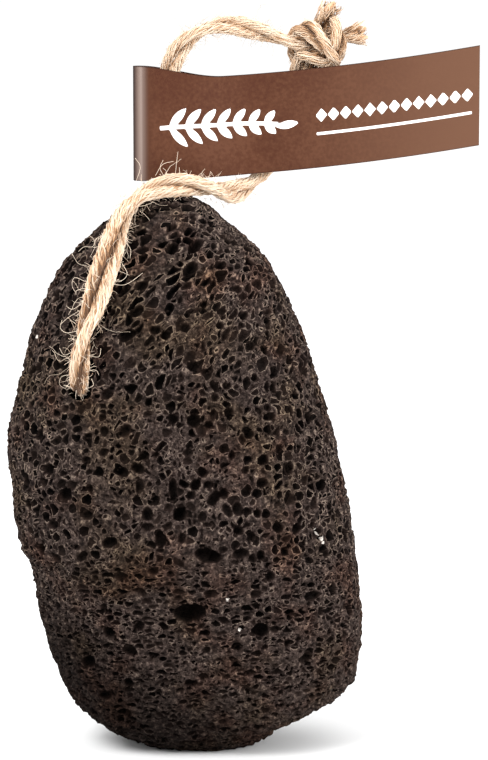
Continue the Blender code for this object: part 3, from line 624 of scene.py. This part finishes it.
def foam(tree, place, edge):
    """The foam as nodes: how deep the surface is hollowed at a place, in metres, how much painted shade that
    gives it, and how near it is to a bubble's rim, where a painted highlight goes."""
    sideways, _, height = add_node(tree, "SeparateXYZ", (place,), out=None).outputs
    low = height
    for operation, amount in (("SUBTRACT", FLAT_BELOW), ("MINIMUM", 0.0), ("MULTIPLY", FLATTENING)):
        low = add_node(tree, "Math", (low, amount), operation=operation)
    flatter = add_node(tree, "CombineXYZ", {2: low})
    limits = {0: height, 1: SLANT_BETWEEN[0], 2: SLANT_BETWEEN[1]}
    near_top = add_node(tree, "MapRange", limits)
    slanting = add_node(tree, "MapRange", {**limits, 4: SLANTING})
    along = add_node(tree, "VectorMath", (place, SLANT), operation="DOT_PRODUCT", out="Value")
    along = add_node(tree, "Math", (along, slanting), operation="MULTIPLY")
    longer = add_node(tree, "VectorMath", {0: SLANT, "Scale": along}, operation="SCALE")
    limits = {0: sideways, 1: COARSE_TO_FINE[0], 2: COARSE_TO_FINE[1], 3: 1.0, 4: FINER}
    coarse = add_node(tree, "MapRange", limits)
    coarse = add_node(tree, "Math", (near_top, coarse), operation="MULTIPLY")
    for change in (flatter, longer):
        place = add_node(tree, "VectorMath", (place, change), operation="ADD")
    for size, amount in FOAM_BENDS:
        bend = add_node(tree, "TexNoise", {"Vector": place, "Scale": 1 / size, "Detail": 1.0}, out="Color")
        bend = add_node(tree, "VectorMath", (bend, (0.5, 0.5, 0.5)), operation="SUBTRACT")
        bend = add_node(tree, "VectorMath", {0: bend, "Scale": amount}, operation="SCALE")
        place = add_node(tree, "VectorMath", (place, bend), operation="ADD")
    deepest, foam_shade, rim_highlight, closed = 0.0, 0.0, 0.0, 1.0
    for width, open_share, more_open, wall, depth in FOAM:
        cells = {"Vector": place, "Scale": 1 / width}
        aside = add_node(tree, "TexVoronoi", cells, feature="DISTANCE_TO_EDGE", out="Distance")
        cell = add_node(tree, "TexVoronoi", cells, out=None)
        lots = add_node(tree, "SeparateXYZ", (cell.outputs["Color"],), out=None)
        lot = add_node(tree, "Math", (coarse, more_open, lots.outputs[0]), operation="MULTIPLY_ADD")
        radius = add_node(tree, "MapRange", (lots.outputs[1], 0.0, 1.0, ROUNDNESS[0], ROUNDNESS[1]))
        rounded = add_node(tree, "Math", (radius, cell.outputs["Distance"]), operation="SUBTRACT")
        aside = add_node(tree, "Math", (aside, wall), operation="SUBTRACT")
        aside = add_node(tree, "Math", (aside, rounded), operation="MINIMUM")
        edge_share = add_node(tree, "Math", (edge, 1 / width), operation="MULTIPLY")
        within = add_node(tree, "MapRange", (aside, 0.0, edge_share), interpolation_type="SMOOTHSTEP")
        is_open = add_node(tree, "Math", (lot, 1 - open_share), operation="GREATER_THAN")
        is_open = add_node(tree, "Math", (is_open, closed), operation="MULTIPLY")
        closed = add_node(tree, "Math", (closed, is_open), operation="SUBTRACT")
        bowl = add_node(tree, "MapRange", (aside, 0.0, BOWL_WIDTH, BOWL_EDGE))
        dark = add_node(tree, "MapRange", (lot, 1 - open_share, 1.0, SHALLOWEST))
        for share in (is_open, bowl, within):
            dark = add_node(tree, "Math", (dark, share), operation="MULTIPLY")
        deep = add_node(tree, "Math", (dark, depth * width), operation="MULTIPLY")
        deepest = add_node(tree, "Math", (deep, deepest), operation="MAXIMUM")
        foam_shade = add_node(tree, "Math", (dark, foam_shade), operation="MAXIMUM")
        rim = add_node(tree, "MapRange", (aside, -RIM / width, 0.0))
        for share in (is_open, lots.outputs[2]):
            rim = add_node(tree, "Math", (rim, share), operation="MULTIPLY")
        rim_highlight = add_node(tree, "Math", (rim, rim_highlight), operation="MAXIMUM")
    return deepest, foam_shade, rim_highlight


bpy.ops.mesh.primitive_ico_sphere_add(subdivisions=7, radius=1.0)
stone = bpy.context.object
stone.name = stone.data.name = "pumice"
ball = unit(point_array(stone.data))
low, high = STATIONS[0][0] * MM, STATIONS[-1][0] * MM
form = on_stone((low + high) / 2 + ball[:, 2] * (high - low) / 2, np.arctan2(ball[:, 1], ball[:, 0]))
outward = unit(form * (1.0, 1.6, 0.35) - (0, 0, 45 * MM * 0.35))
knob_shift = Vector((7.0, 3.0, 1.0))
lumps = [noise.noise(Vector(p) / LUMP_SIZE) * LUMP_HEIGHT
         + noise.noise(Vector(p) / KNOB_SIZE + knob_shift) * KNOB_HEIGHT for p in form]
form += outward * np.array(lumps)[:, None]
form[:, 2] = np.maximum(form[:, 2], 0)
stone.data.vertices.foreach_set("co", form.ravel())

way_through = HOLE_BACK - HOLE_FRONT
bpy.ops.mesh.primitive_cylinder_add(
    vertices=40, radius=HOLE_WIDTH / 2, depth=way_through.length,
    location=(HOLE_FRONT + HOLE_BACK) / 2, rotation=way_through.to_track_quat("Z", "Y").to_euler()
)
drill = bpy.context.object
apply_modifier(stone, "BOOLEAN", operation="DIFFERENCE", solver="MANIFOLD", object=drill)
bpy.data.objects.remove(drill, do_unlink=True)
apply_modifier(stone, "REMESH", mode="VOXEL", voxel_size=STONE_GRID)

foam_tree = bpy.data.node_groups.new("vesicles", "GeometryNodeTree")
for in_out in ("INPUT", "OUTPUT"):
    foam_tree.interface.new_socket("Geometry", in_out=in_out, socket_type="NodeSocketGeometry")
labelled = add_node(foam_tree, "NodeGroupInput")
point = add_node(foam_tree, "GeometryNodeInputPosition")
foam_depth = foam(foam_tree, point, EDGE_IN_MESH)[0]
for label, value, kind in (("seat", point, "FLOAT_VECTOR"), ("foam", foam_depth, "FLOAT")):
    inputs = {"Geometry": labelled, "Name": label, "Value": value}
    labelled = add_node(foam_tree, "GeometryNodeStoreNamedAttribute", inputs, data_type=kind)
add_node(foam_tree, "NodeGroupOutput", (labelled,), out=None)
apply_modifier(stone, "NODES", node_group=foam_tree)

skin = stone.data
base = point_array(skin)
count = len(base)
foamed = np.empty(count)
skin.attributes["foam"].data.foreach_get("value", foamed)
ends = np.empty(len(skin.edges) * 2, int)
skin.edges.foreach_get("vertices", ends)
ends = ends.reshape(-1, 2)
edges_at = np.bincount(ends.ravel(), minlength=count)


def blurred(values, times):
    """A value at each point of the skin, evened out with its neighbours'."""
    one, other = ends.T
    for _ in range(times):
        near = np.bincount(one, values[other], count) + np.bincount(other, values[one], count)
        values = (values + near) / (edges_at + 1)
    return values


inward = -unit(np.stack([blurred(column, 14) for column in point_array(skin, "normal").T], -1))
tree = kdtree.KDTree(count)
for k, place in enumerate(base):
    tree.insert(place, k)
tree.balance()
depth = np.zeros(count)
rims = np.zeros(count)


def carve(middle, axes, half_sizes):
    """Pushes the skin that lies inside an oval bubble inwards, on to the bubble's far wall."""
    found = [k for _, k, _ in tree.find_range(middle, max(half_sizes) * 1.6)]
    if not found:
        return
    k = np.array(found)
    uneven = np.array([noise.noise_vector(Vector(base[j]) / UNEVEN_SIZE) for j in found]) * UNEVENNESS
    here = (base[k] + inward[k] * depth[k][:, None] + uneven - middle) @ axes.T / half_sizes
    way_in = inward[k] @ axes.T / half_sizes
    a, b, c = (way_in * way_in).sum(1), (here * way_in).sum(1), (here * here).sum(1) - 1
    reach = (-b + np.sqrt(np.maximum(b * b - a * c, 0))) / a
    depth[k] += np.where(c < 0, np.minimum(reach, DEEPEST_CUT), 0)
    outside = np.sqrt(c + 1) - 1
    beside = np.clip(1 - np.abs(outside) * min(half_sizes) / CARVED_RIM, 0, 1)
    rims[k] = np.where(c < 0, np.minimum(rims[k], beside), np.maximum(rims[k], beside))


def bubble_axes(outward_there, slope):
    """A bubble's own directions: its length in the skin, turned up from level by slope, across and out."""
    level = np.cross((0, 0, 1.0), outward_there)
    level /= np.linalg.norm(level) + 1e-9
    upward = np.cross(outward_there, level)
    length = level * math.cos(slope) + upward * math.sin(slope)
    return np.stack([length, np.cross(outward_there, length), outward_there])


def on_front(x, height):
    """The skin's point that is seen from the front at x and height, in millimetres."""
    front = on_stone(np.full(401, height * MM), -np.pi * np.arange(401) / 400)
    return tree.find(front[np.argmin(np.abs(front[:, 0] - x * MM))])[1]


taken_places, taken_sizes, taken = np.zeros((4000, 3)), np.zeros(4000), 0
for x, height, half_length, half_width, slope in FRONT_BUBBLES:
    k = on_front(x, height)
    axes = bubble_axes(-inward[k], math.radians(slope))
    half_sizes = np.array([half_length, half_width, half_width]) * MM * FRONT_BUBBLE_SIZE
    carve(base[k] + inward[k] * half_width * MM * FRONT_BUBBLE_SINK, axes, half_sizes)
    taken_places[taken], taken_sizes[taken] = base[k], (half_length + half_width) / 2 * MM
    taken += 1

draw = np.random.default_rng(7)
zone_shift = Vector((3.0, 9.0, 4.0))
for tries, smallest, largest, power, sink in OTHER_BUBBLES:
    for _ in range(tries):
        k = draw.integers(count)
        place = base[k]
        if place[2] < 1.2 * MM and inward[k, 2] > 0.6:
            continue
        zone = noise.noise(Vector(place) / ZONE_SIZE + zone_shift)
        radius = (smallest + (largest - smallest) * draw.random() ** power) * MM * (1 + ZONE_CHANGE * zone)
        apart = np.linalg.norm(taken_places[:taken] - place, axis=1)
        if (apart < (taken_sizes[:taken] + radius) * BUBBLE_SPACING).any():
            continue
        taken_places[taken], taken_sizes[taken] = place, radius
        taken += 1
        surface = place + inward[k] * depth[k]
        slope = draw.normal(*BUBBLE_SLOPE) * min(1, place[2] / SLOPED_ABOVE)
        half_sizes = radius * np.array([draw.uniform(1.0, 1.5), 1.0, draw.uniform(0.8, 1.2)])
        surface += inward[k] * radius * draw.uniform(-0.4, sink)
        carve(surface, bubble_axes(-inward[k], slope), half_sizes)

bubbles = depth.copy()
foamed *= 1 - RIMS_KEEP * rims
depth = np.maximum(depth, foamed) + 0.25 * np.minimum(depth, foamed)
near_twine = kdtree.KDTree(len(route))
for k, place in enumerate(route):
    near_twine.insert(place, k)
near_twine.balance()
close = [k for k, place in enumerate(base) if near_twine.find(place)[2] < TWINE_WIDTH * 0.75]
for k in close:  # the twine beds into the stone's thin walls where it presses on them
    for _ in range(6):
        place = base[k] + inward[k] * depth[k]
        _, nearest, gap = near_twine.find(place)
        room = TWINE_WIDTH / 2 * twine_size[nearest] + TWINE_ROOM
        if gap >= room:
            break
        depth[k] += max(0.05 * MM, (room - gap) * 0.6)

grain = sum(np.array([abs(noise.noise(Vector(p) / size)) for p in base]) * height for size, height in GRAINS)
form = base + inward * (depth + (grain - GRAIN_LEVEL) * MM)[:, None]
form[:, 2] = np.maximum(form[:, 2], 0)
skin.vertices.foreach_set("co", form.ravel())
for label, values in (("hollow_shade", np.clip(bubbles / DARKEST_FROM, 0, 1) * DARKEST), ("rim", rims)):
    skin.attributes.new(label, "FLOAT", "POINT").data.foreach_set("value", values)
skin.attributes.remove(skin.attributes["foam"])
skin.update()
triangles = sum(len(face.vertices) - 2 for face in skin.polygons)
apply_modifier(stone, "DECIMATE", ratio=STONE_TRIANGLES / triangles)
stone.data.shade_smooth()

# Basaltic scoria: dark glassy rock, dull all over and warm grey on the broken walls, with rusty and olive
# patches centimetres wide. Painted shade makes it nearly black inside its bubbles and pinholes of half a
# millimetre, and a painted highlight makes their rims paler.
WALL_TONES = ((0.33, "#120e0d"), (0.44, "#241d1a"), (0.56, "#3d332f"), (0.74, "#726459"))
# Painted shade on the bubbles' floors, darker the deeper a bubble is:
BUBBLE_SHADE_TONES = ((0.05, "#342a26"), (0.25, "#221a17"), (0.48, "#140f0d"), (0.85, "#040303"))
PATCHES = ((8 * MM, 0.0, "#ffb890"), (11 * MM, 0.3, "#fff0b0"))  # rust, then olive: size, shift and tint
PATCH_EDGE, PATCH_STRENGTH = (0.50, 0.66), 0.34
MOTTLE_SIZE, MOTTLE_HEIGHT = 0.65 * MM, 0.35
# How much paler a rim's painted highlight makes it, and how much of that a carved bubble's rim gets:
RIM_HIGHLIGHT, CARVED_RIM_SHARE = 0.32, 0.75
DUST = (-0.06, -0.03)  # how much paler the rock is where it is fresh, and where it is worn and dusty
SPECK_COLOUR, SPECK_RAGGED, SPECK_EDGE = "#b9b1a9", 1.1 * MM, (0.55, 0.67)

scoria, scoria_shader = new_finish("scoria", 0.9, 0.02)
rock = scoria.node_tree
seat = add_node(rock, "Attribute", attribute_name="seat", out="Vector")
carved_shade = add_node(rock, "Attribute", attribute_name="hollow_shade", out="Fac")
carved_rim = add_node(rock, "Attribute", attribute_name="rim", out="Fac")
sideways, depth_there, level = add_node(rock, "SeparateXYZ", (seat,), out=None).outputs
worn_foot = add_node(rock, "MapRange", (level, WORN_HEIGHTS[0], WORN_HEIGHTS[1], 1.0, 0.0))
worn_front = add_node(rock, "MapRange", (depth_there, WORN_PROUD[0], WORN_PROUD[1], 0.6, 0.0))
worn = add_node(rock, "Math", (worn_foot, worn_front), operation="MAXIMUM")
edge_there = add_node(rock, "MapRange", (worn, 0.0, 1.0, EDGE_IN_COLOUR[0], EDGE_IN_COLOUR[1]))
foam_height, dark, rim = foam(rock, seat, edge_there)
for loss, factor in ((0.9, carved_rim), (WORN_PITS, worn)):
    kept = add_node(rock, "MapRange", (factor, 0.0, 1.0, 1.0, 1 - loss))
    dark = add_node(rock, "Math", (dark, kept), operation="MULTIPLY")
# and painted shade in the carved bubbles, by how deep they are
dark = add_node(rock, "Math", (dark, carved_shade), operation="MAXIMUM")

mottle = {"Vector": seat, "Scale": 1 / MOTTLE_SIZE, "Detail": 4.0, "Roughness": 0.75}
mottle = add_node(rock, "TexNoise", mottle)
# The painted highlight round the rims of both kinds of bubble, less where the rock is worn:
carved_rim = add_node(rock, "Math", (carved_rim, CARVED_RIM_SHARE), operation="MULTIPLY")
rim = add_node(rock, "Math", (rim, carved_rim), operation="MAXIMUM")
kept = add_node(rock, "MapRange", (worn, 0.0, 1.0, 1.0, 1 - WORN_RIMS))
rim = add_node(rock, "Math", (rim, kept), operation="MULTIPLY")
paler = add_node(rock, "Math", (rim, RIM_HIGHLIGHT, mottle), operation="MULTIPLY_ADD")
dust = add_node(rock, "MapRange", (worn, 0.0, 1.0, DUST[0], DUST[1]))
paler = add_node(rock, "Math", (paler, dust), operation="ADD")
unevenness = add_node(rock, "MapRange", (mottle, 0.35, 0.65))
floors = add_ramp(rock, dark, BUBBLE_SHADE_TONES)
uneven = {0: 1.0, 6: floors, 7: unevenness}
uneven = add_node(rock, "Mix", uneven, data_type="RGBA", blend_type="MULTIPLY", out=2)
floors = add_node(rock, "Mix", {0: 0.6, 6: floors, 7: uneven}, data_type="RGBA", out=2)
in_any = add_node(rock, "MapRange", (dark, 0.02, 0.16))
walls = add_ramp(rock, paler, WALL_TONES)
body = add_node(rock, "Mix", {0: in_any, 6: walls, 7: floors}, data_type="RGBA", out=2)
for size, shift, tint in PATCHES:
    patch = add_node(rock, "VectorMath", (seat, (shift, shift, 0.0)), operation="ADD")
    patch = add_node(rock, "TexNoise", {"Vector": patch, "Scale": 1 / size, "Detail": 3.0})
    patch = add_node(rock, "MapRange", (patch, PATCH_EDGE[0], PATCH_EDGE[1], 0.0, PATCH_STRENGTH))
    tinted = {0: patch, 6: body, 7: colour(tint)}
    body = add_node(rock, "Mix", tinted, data_type="RGBA", blend_type="MULTIPLY", out=2)
# Painted shade, darker towards the foot and reaching higher on the left:
shade_height = add_node(rock, "Math", (sideways, FOOT_LEAN, level), operation="MULTIPLY_ADD")
shade_height = {0: shade_height, 1: FOOT_HEIGHTS[0], 2: FOOT_HEIGHTS[1], 3: FOOT_SHADE}
foot_shade = add_node(rock, "MapRange", shade_height, interpolation_type="SMOOTHSTEP")
body = add_node(rock, "VectorMath", {0: body, "Scale": foot_shade}, operation="SCALE")
ragged = add_node(rock, "Math", (mottle, SPECK_RAGGED), operation="MULTIPLY")
for x, height, radius in SPECKS:
    speck = Vector(base[on_front(x, height)])
    gap = add_node(rock, "VectorMath", (seat, speck), operation="DISTANCE", out="Value")
    gap = add_node(rock, "Math", (gap, ragged), operation="ADD")
    near, far = ((radius + edge) * MM for edge in SPECK_EDGE)
    amount = add_node(rock, "MapRange", (gap, near, far, 1.0, 0.0))
    body = add_node(rock, "Mix", {0: amount, 6: body, 7: colour(SPECK_COLOUR)}, data_type="RGBA", out=2)
rock.links.new(body, scoria_shader.inputs["Base Color"])
relief = add_node(rock, "Math", (foam_height, -1 / MM), operation="MULTIPLY")
relief = add_node(rock, "Math", (mottle, MOTTLE_HEIGHT, relief), operation="MULTIPLY_ADD")
rock_bump = add_node(rock, "Bump", {"Height": relief, "Strength": 0.8, "Distance": 1.0 * MM})
rock.links.new(rock_bump, scoria_shader.inputs["Normal"])
stone.data.materials.clear()
stone.data.materials.append(scoria)
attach(stone, "root")
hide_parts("stone")


# ----------------------------------------------------------------------
# The tag. A strip of thin brown card, printed on one side, folded round the twine at the left and glued to
# itself. It bows a little, and it is cut a little taller where it is folded.

TAG_LEFT, TAG_RIGHT = -8.8 * MM, 48.2 * MM
TAG_PLANE = 6.0 * MM  # the y of the glued halves
TAG_CARD = 0.3 * MM
TAG_LOOP_RADIUS = 4.0 * MM
TAG_LOOP_SHOULDER = 9.5 * MM  # from the fold to where the strip starts to close behind the twine
TAG_LOOP_END = 19.0 * MM  # from the fold to where the halves meet
TAG_LOW = 93.0 * MM  # the lower edge, at the fold
TAG_HEIGHT = 16.4 * MM
TAG_FLARE, TAG_FLARE_LENGTH = 2.4 * MM, 15 * MM
TAG_RISE, TAG_BOW = 0.03, 1.25  # the lower edge's slope at the fold, and how fast it steepens, per metre
TAG_COLUMNS, TAG_ROWS = 430, 60
# The print, in millimetres from the fold and from the lower edge. A sprig: its stem, leaf pairs and end
# leaf. A row of lozenges, and a rule under it.
STEM_FROM, STEM_TO, STEM_UP, STEM_WAVE, STEM_HALF_WIDTH = 4.5, 24.0, 7.6, 0.9, 0.30
LEAF_PAIRS, FIRST_LEAF, LEAF_STEP, LEAF_WIDTH, LEAF_SLOPES = 7, 6.0, 2.6, 1.25, (0.85, -0.75)
LONGEST_LEAF, LEAF_SHORTENS = 4.2, 0.25
LOZENGES, FIRST_LOZENGE, LOZENGE_STEP, LOZENGE_UP, LOZENGE_HALF = 13, 31.0, 2.0, 8.6, 0.95
RULE_FROM, RULE_TO, RULE_UP, RULE_HALF_WIDTH = 30.2, 55.8, 5.6, 0.22

reach = TAG_LOOP_RADIUS - TAG_CARD / 2
fold_x = TAG_LEFT + TAG_LOOP_RADIUS
half = [(TAG_RIGHT, TAG_CARD / 2), (TAG_LEFT + TAG_LOOP_END + 8 * MM, TAG_CARD / 2),
        (TAG_LEFT + TAG_LOOP_END, TAG_CARD / 2 + 0.1 * MM), (TAG_LEFT + TAG_LOOP_SHOULDER, 0.80 * reach)]
arc = [(fold_x - reach * math.sin(a), reach * math.cos(a)) for a in np.radians(range(0, 181, 15))]
plan = half + arc + [(x, -offset) for x, offset in reversed(half)]
plan = smooth_path([Vector((x, TAG_PLANE - offset, 0)) for x, offset in plan], 0.1 * MM)

bpy.ops.mesh.primitive_grid_add(x_subdivisions=TAG_COLUMNS, y_subdivisions=TAG_ROWS, size=1.0)
tag = bpy.context.object
tag.name = tag.data.name = "tag"
flat = point_array(tag.data)
share, up = flat[:, 0] + 0.5, flat[:, 1] + 0.5
where = np.linspace(0, 1, len(plan))
x, y = np.interp(share, where, plan[:, 0]), np.interp(share, where, plan[:, 1])
from_fold = x - TAG_LEFT
near_fold = np.clip(1 - from_fold / TAG_FLARE_LENGTH, 0, 1)
flare = TAG_FLARE * near_fold ** 2 * (3 - 2 * near_fold)
low_edge = TAG_LOW + TAG_RISE * from_fold + TAG_BOW * from_fold ** 2
tag.data.vertices.foreach_set("co", np.stack([x, y, low_edge + up * (TAG_HEIGHT + flare)], -1).ravel())
tag.data.update()


def stem_up(u):
    return STEM_UP + STEM_WAVE * np.sin((u - 4) / 7)


def leaf_distance(u, v, middle_u, middle_v, length, width, slope):
    """How far inside a pointed leaf a place of the print lies."""
    along = (u - middle_u) * math.cos(slope) + (v - middle_v) * math.sin(slope)
    aside = (v - middle_v) * math.cos(slope) - (u - middle_u) * math.sin(slope)
    return width / 2 * (1 - (2 * along / length) ** 2) - np.abs(aside)


u, v = from_fold / MM, up * TAG_HEIGHT / MM
forms = [np.minimum(STEM_HALF_WIDTH - np.abs(v - stem_up(u)), np.minimum(u - STEM_FROM, STEM_TO - u)),
         np.minimum(RULE_HALF_WIDTH - np.abs(v - RULE_UP), np.minimum(u - RULE_FROM, RULE_TO - u)),
         leaf_distance(u, v, 25.4, 7.6, 3.8, 1.3, 0.1)]
for number in range(LEAF_PAIRS):
    root = FIRST_LEAF + LEAF_STEP * number
    length = LONGEST_LEAF - LEAF_SHORTENS * number
    for slope in LEAF_SLOPES:
        middle = root + math.cos(slope) * length / 2, stem_up(root) + math.sin(slope) * length / 2
        forms.append(leaf_distance(u, v, *middle, length, LEAF_WIDTH, slope))
for number in range(LOZENGES):
    aside = np.abs(u - FIRST_LOZENGE - LOZENGE_STEP * number)
    forms.append(LOZENGE_HALF - (aside + np.abs(v - LOZENGE_UP) * 0.85))
ink = np.where(share < 0.5, np.max(forms, axis=0), -1.0)
for label, values in (("ink", ink), ("from_fold", u), ("up", v)):
    tag.data.attributes.new(label, "FLOAT", "POINT").data.foreach_set("value", values)
apply_modifier(tag, "SOLIDIFY", thickness=TAG_CARD, offset=0.0)
tag.data.shade_smooth()
bpy.context.view_layer.objects.active = tag
tag.select_set(True)
bpy.ops.object.shade_smooth_by_angle(angle=math.radians(50))
tag.select_set(False)

# Uncoated card with a flat brown print and a satin varnish: faintly mottled, redder and darker in soft
# patches, paler towards its free end by a painted reflection, and with a painted grey highlight round the
# fold, which has painted shade at its very edge. The cut edges show the darker core.
CARD_TONES = ((0.1, "#3f2216"), (0.5, "#45281a"), (0.9, "#4d2f20"))
END_REFLECTION, REFLECTION_BETWEEN = "#593d2e", (22.0, 58.0)  # a painted reflection, paler towards the free end; in millimetres from the fold, as are the next two
# A painted highlight across the fold, with painted shade at its very edge, in widths of the fold:
FOLD_SHADE_AND_HIGHLIGHT, FOLD_WIDTH, FOLD_BLENDS = (
    (0.0, "#130a07"), (0.10, "#2c1c16"), (0.20, "#594942"), (0.30, "#72625a"), (0.38, "#7c6c65"),
    (0.45, "#65544d"), (0.58, "#503b32"), (0.70, "#45281a")
), 4.0, (2.2, 3.4)
CUT_EDGE, CUT_WIDTH = "#22120c", 0.16
WHITE_INK, INK_EDGE = "#fbf6f2", 0.04

card, card_shader = new_finish("printed card", 0.62, 0.08)
paper = card.node_tree
there = add_node(paper, "TexCoord", out="Object")
patch = add_node(paper, "TexNoise", {"Vector": there, "Scale": 110.0, "Detail": 3.0})
grit = add_node(paper, "TexNoise", {"Vector": there, "Scale": 1800.0, "Detail": 2.0})
mottle = add_node(paper, "Math", (patch, grit), operation="ADD")
mottle = add_node(paper, "MapRange", (mottle, 0.7, 1.3))
along_tag, height, ink_there = (
    add_node(paper, "Attribute", attribute_name=label, out="Fac") for label in ("from_fold", "up", "ink")
)
# A painted reflection, paler towards the free end:
limits = {0: along_tag, 1: REFLECTION_BETWEEN[0], 2: REFLECTION_BETWEEN[1]}
end_reflection = add_node(paper, "MapRange", limits, interpolation_type="SMOOTHSTEP")
on_fold = add_node(paper, "Math", (along_tag, FOLD_WIDTH), operation="DIVIDE")
fold_light = add_node(paper, "MapRange", (along_tag, FOLD_BLENDS[0], FOLD_BLENDS[1], 1.0, 0.0))
middle = TAG_HEIGHT / MM / 2
from_middle = add_node(paper, "Math", (height, middle), operation="SUBTRACT")
from_middle = add_node(paper, "Math", (from_middle,), operation="ABSOLUTE")
at_edge = add_node(paper, "MapRange", (from_middle, middle - CUT_WIDTH, middle))
inked = add_node(paper, "MapRange", (ink_there, -INK_EDGE, INK_EDGE))
printed = add_ramp(paper, mottle, CARD_TONES)
for amount, over in ((end_reflection, colour(END_REFLECTION)), (fold_light, add_ramp(paper, on_fold, FOLD_SHADE_AND_HIGHLIGHT)),
                     (at_edge, colour(CUT_EDGE)), (inked, colour(WHITE_INK))):
    printed = add_node(paper, "Mix", {0: amount, 6: printed, 7: over}, data_type="RGBA", out=2)
paper.links.new(printed, card_shader.inputs["Base Color"])
card_bump = add_node(paper, "Bump", {"Height": grit, "Strength": 0.25, "Distance": 0.03 * MM})
paper.links.new(card_bump, card_shader.inputs["Normal"])
tag.data.materials.append(card)
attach(tag, "root")
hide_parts("paper_tag")
